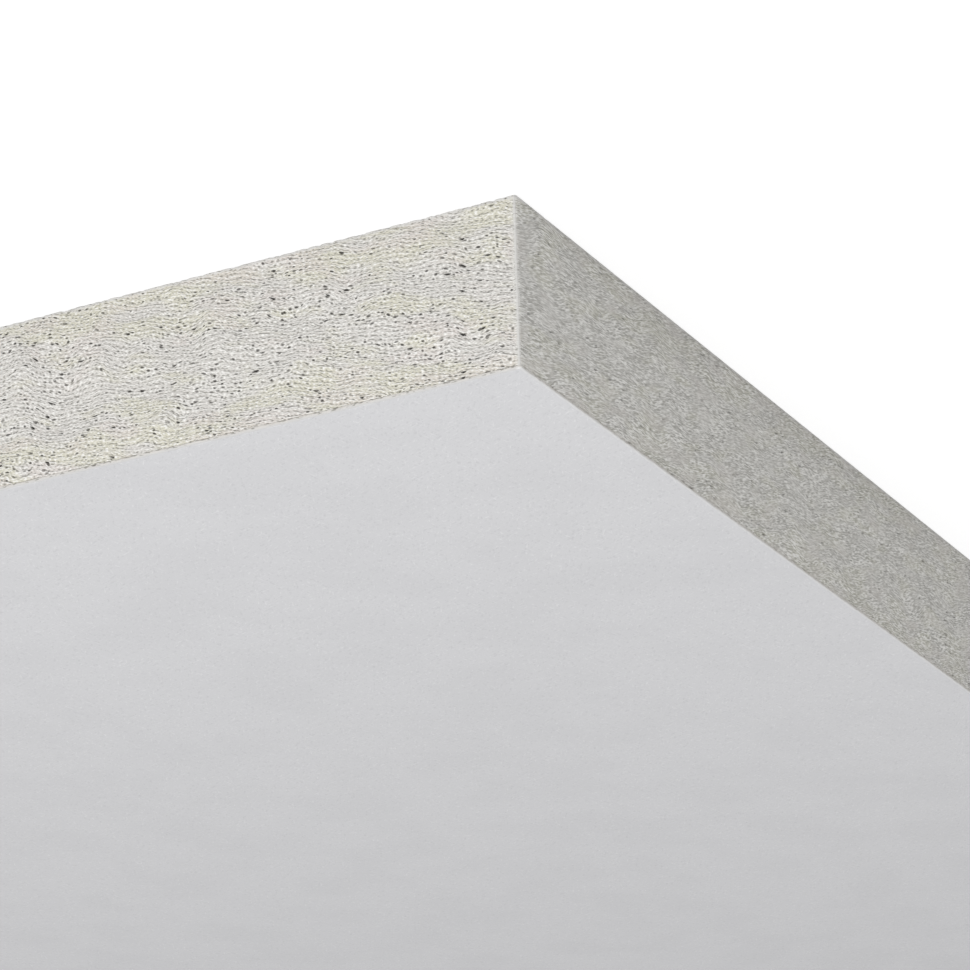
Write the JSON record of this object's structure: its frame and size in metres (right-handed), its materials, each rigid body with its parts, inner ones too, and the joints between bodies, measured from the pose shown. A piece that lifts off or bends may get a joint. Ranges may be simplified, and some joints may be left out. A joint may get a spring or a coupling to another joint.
{
  "type": "acoustic ceiling panel",
  "caption": "Square lay-in acoustic ceiling panel: a felted mineral-fibre board with plain square-cut edges and a smooth painted tissue bonded over its finished face.",
  "frame": {"origin": "middle of the back face, which is the face it lies on when stored finished face up", "axes": "+Z is the outward normal of the finished face; +X and +Y run along the square-cut edges"},
  "size_m": [0.594, 0.594, 0.019],
  "materials": {
    "mineral_fibre": "raw felted mineral fibre, matt and open-pored",
    "painted_tissue": "smooth matt white paint on fine glass-fibre tissue"
  },
  "bodies": {
    "root": {"mineral_core": "mineral_fibre", "face_veil": "painted_tissue"}
  },
  "joints": []
}
